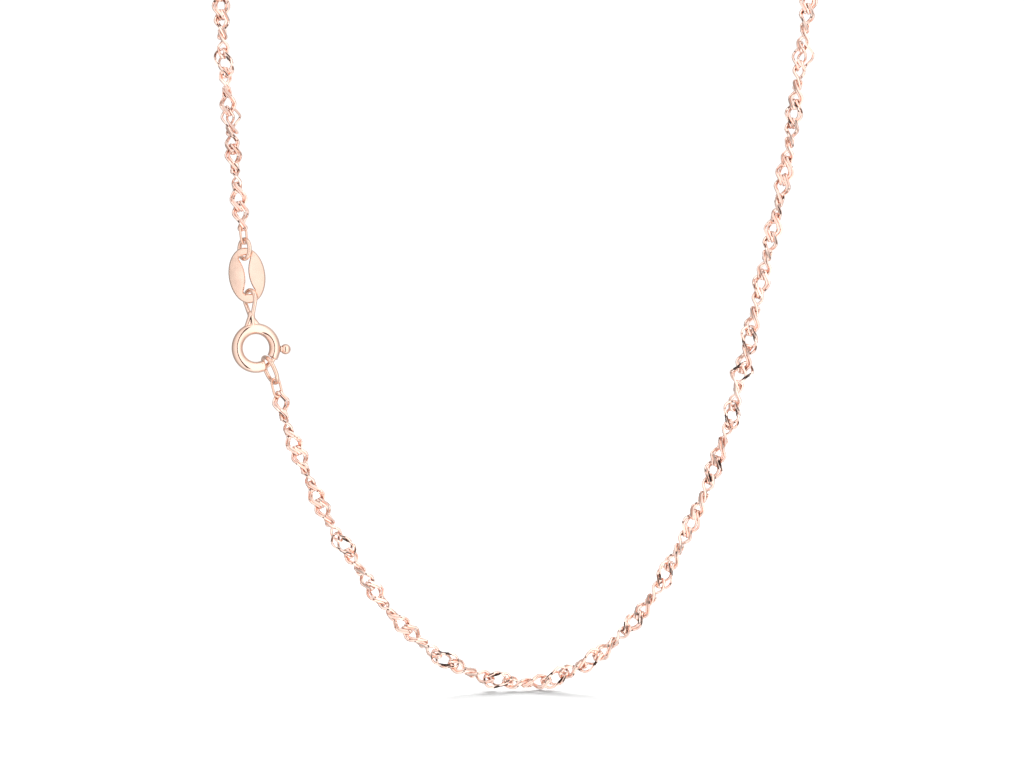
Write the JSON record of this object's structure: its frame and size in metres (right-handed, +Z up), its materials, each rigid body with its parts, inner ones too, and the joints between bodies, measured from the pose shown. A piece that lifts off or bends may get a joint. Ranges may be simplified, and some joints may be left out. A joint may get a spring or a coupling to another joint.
{
  "type": "twisted chain necklace",
  "caption": "Fine rose gold necklace of twisted double links, closed by a bolt ring clasp beside an oval slotted tag, hanging in a closed loop.",
  "frame": {"origin": "the inside top of the loop, where it lies on a neck or a stand", "axes": "+X to the viewer's right across the loop, +Y away from the viewer through it, +Z up"},
  "size_m": [0.0776, 0.003, 0.1927],
  "materials": {
    "chain": "polished rose gold, faceted links",
    "clasp": "polished rose gold tube",
    "rings": "polished rose gold wire",
    "tag": "polished rose gold plate, plain"
  },
  "bodies": {
    "necklace": {"clasp_ring": "clasp", "tag": "tag", "tag_ring": "rings", "end_ring": "rings", "end_link_tag": "chain", "end_link_clasp": "chain", "chain_lower": "chain", "chain_upper": "chain"},
    "bolt": {"clasp_bolt": "clasp"}
  },
  "joints": [
    {"name": "bolt_slide", "type": "hinge", "parent": "necklace", "child": "bolt", "pos_m": [-0.0274, 0, -0.1568], "axis": [0.342, -0.9397, 0], "range_deg": [0, 38], "stiffness_Nm_per_rad": 0.0015, "springref_deg": -20.05}
  ]
}
